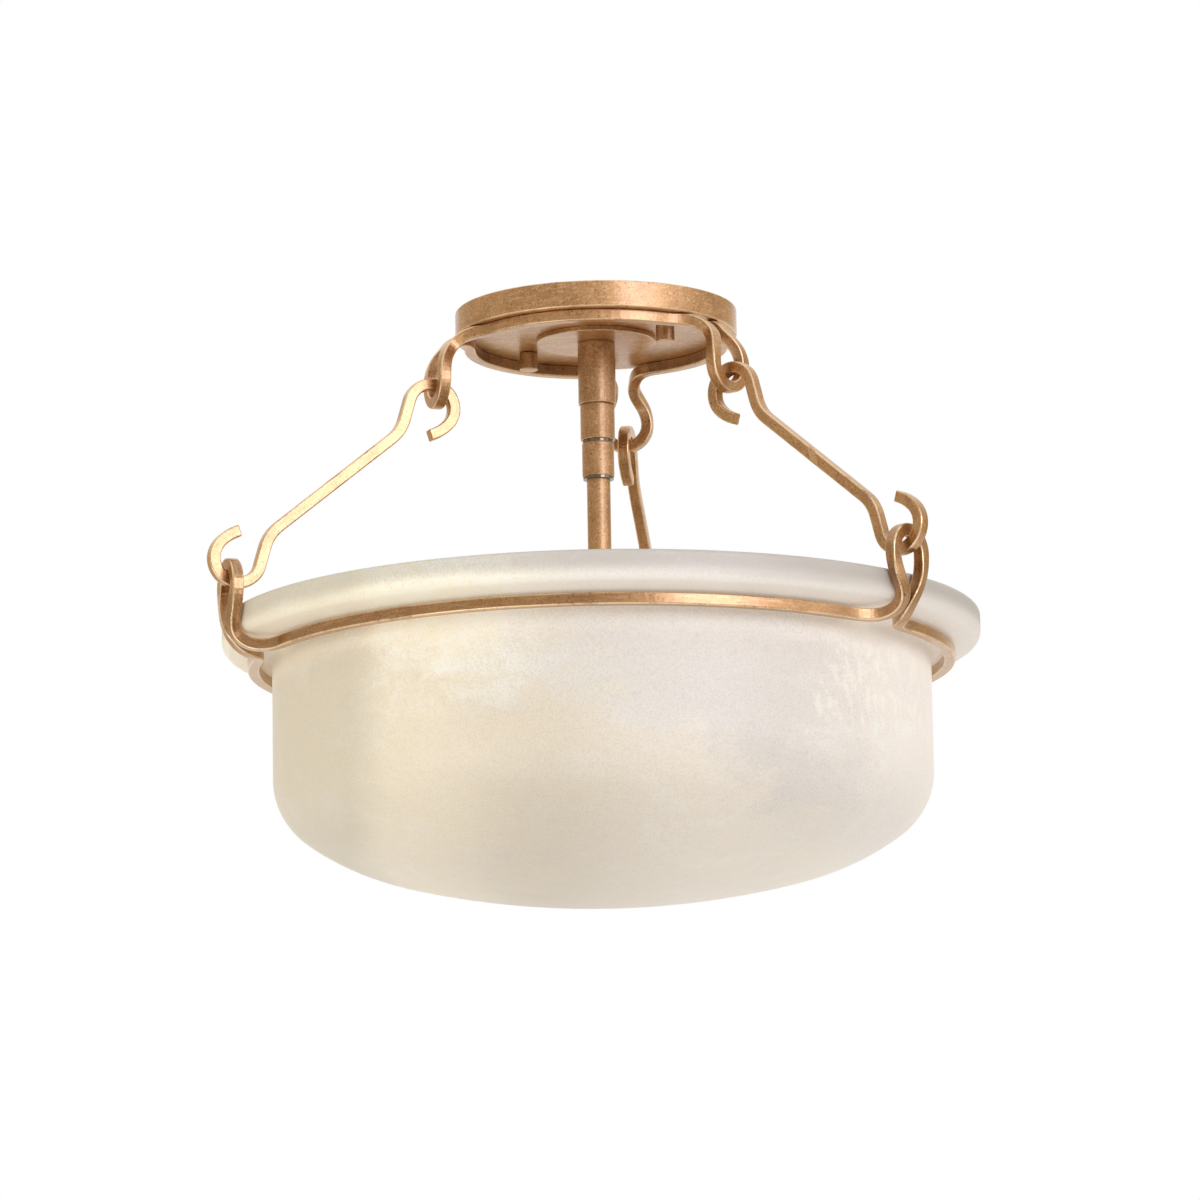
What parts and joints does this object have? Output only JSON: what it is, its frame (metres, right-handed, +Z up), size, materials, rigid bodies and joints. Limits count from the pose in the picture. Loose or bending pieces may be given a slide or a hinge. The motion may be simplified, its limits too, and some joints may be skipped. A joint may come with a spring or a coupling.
{
  "type": "semi-flush ceiling light",
  "caption": "Semi-flush ceiling light: antique gold canopy, rings and hooked arms of square bar, and an alabaster bowl over lamps on a centre stem.",
  "frame": {"origin": "centre of the two box screw slots at the ceiling, on the stem's axis", "axes": "+Z up into the ceiling, -Z down the stem, +X along the box strap, the picture taken from -Y"},
  "size_m": [0.4099, 0.4194, 0.3211],
  "materials": {
    "gilt_bar": "satin",
    "gilt_sheet": "satin",
    "gilt_stem": "satin",
    "bright_nickel": "satin",
    "zinc_steel": "satin",
    "green_screw": "satin",
    "white_nylon": "matte",
    "alabaster": "satin",
    "porcelain": "gloss",
    "shell_brass": "satin",
    "cap_aluminium": "satin",
    "frosted_glass": "frosted"
  },
  "bodies": {
    "ceiling_mount": {"box_strap": "zinc_steel", "fixture_strap": "zinc_steel", "ground_screw": "green_screw", "canopy_studs": "zinc_steel", "stud_locknuts": "zinc_steel", "canopy_pan": "gilt_sheet", "hanger_ring": "gilt_bar", "canopy_disc": "gilt_sheet", "stem_nipple": "zinc_steel", "stem_lock_washer": "zinc_steel", "stem_locknut": "zinc_steel", "wire_bushing": "white_nylon", "stem_tube": "gilt_stem", "stem_collar_upper": "gilt_stem", "stem_collar_middle": "gilt_stem", "stem_collar_lower": "gilt_stem", "stem_washers": "bright_nickel", "cluster_body": "zinc_steel", "cluster_locknut": "zinc_steel", "cluster_cover": "zinc_steel", "socket_nipples": "zinc_steel", "lamp_socket_1": "porcelain", "lamp_socket_2": "porcelain", "lamp_socket_3": "porcelain", "screw_shell_1": "shell_brass", "screw_shell_2": "shell_brass", "screw_shell_3": "shell_brass"},
    "nut_1": {"canopy_nut_1": "gilt_stem"},
    "nut_2": {"canopy_nut_2": "gilt_stem"},
    "bulb_1": {"bulb_base_1": "cap_aluminium", "bulb_glass_1": "frosted_glass"},
    "bulb_2": {"bulb_base_2": "cap_aluminium", "bulb_glass_2": "frosted_glass"},
    "bulb_3": {"bulb_base_3": "cap_aluminium", "bulb_glass_3": "frosted_glass"},
    "ring": {"bowl_ring": "gilt_bar"},
    "bowl": {"bowl": "alabaster"},
    "arm_1": {"arm_1": "gilt_bar"},
    "arm_2": {"arm_2": "gilt_bar"},
    "arm_3": {"arm_3": "gilt_bar"}
  },
  "joints": [
    {"name": "nut_1_turn", "type": "hinge", "parent": "ceiling_mount", "child": "nut_1", "pos_m": [0.03708, -0.03111, -0.019], "axis": [0, 0, -1], "range_deg": [0, 2880]},
    {"name": "nut_2_turn", "type": "hinge", "parent": "ceiling_mount", "child": "nut_2", "pos_m": [-0.03708, 0.03111, -0.019], "axis": [0, 0, -1], "range_deg": [0, 2880]},
    {"name": "bulb_1_turn", "type": "hinge", "parent": "ceiling_mount", "child": "bulb_1", "pos_m": [0.01879, 0.00684, -0.209], "axis": [0.883, 0.3214, -0.342], "range_deg": [0, 1800]},
    {"name": "bulb_2_turn", "type": "hinge", "parent": "ceiling_mount", "child": "bulb_2", "pos_m": [-0.01532, 0.01286, -0.209], "axis": [-0.7198, 0.604, -0.342], "range_deg": [0, 1800]},
    {"name": "bulb_3_turn", "type": "hinge", "parent": "ceiling_mount", "child": "bulb_3", "pos_m": [-0.00347, -0.0197, -0.209], "axis": [-0.1632, -0.9254, -0.342], "range_deg": [0, 1800]},
    {"name": "ring_twist", "type": "hinge", "parent": "ceiling_mount", "child": "ring", "pos_m": [0, 0, -0.1931], "axis": [0, 0, 1], "range_deg": [-3, 3], "stiffness_Nm_per_rad": 7.1},
    {"name": "arm_1_swing", "type": "hinge", "parent": "ceiling_mount", "child": "arm_1", "pos_m": [0.06971, -0.05849, -0.0553], "axis": [0, 0, 1], "range_deg": [-5.4, 5.4]},
    {"name": "arm_2_swing", "type": "hinge", "parent": "ceiling_mount", "child": "arm_2", "pos_m": [0.0158, 0.08962, -0.0553], "axis": [0, 0, 1], "range_deg": [-5.4, 5.4]},
    {"name": "arm_3_swing", "type": "hinge", "parent": "ceiling_mount", "child": "arm_3", "pos_m": [-0.08551, -0.03112, -0.0553], "axis": [0, 0, 1], "range_deg": [-5.4, 5.4]},
    {"name": "bowl_lift", "type": "slide", "parent": "ring", "child": "bowl", "axis": [0, 0, 1], "range_m": [0, 0.006]}
  ],
  "couplings": [
    {"joint": "arm_1_swing", "follows": "ring_twist", "ratio": 1.7845},
    {"joint": "arm_2_swing", "follows": "ring_twist", "ratio": 1.7845},
    {"joint": "arm_3_swing", "follows": "ring_twist", "ratio": 1.7845}
  ]
}
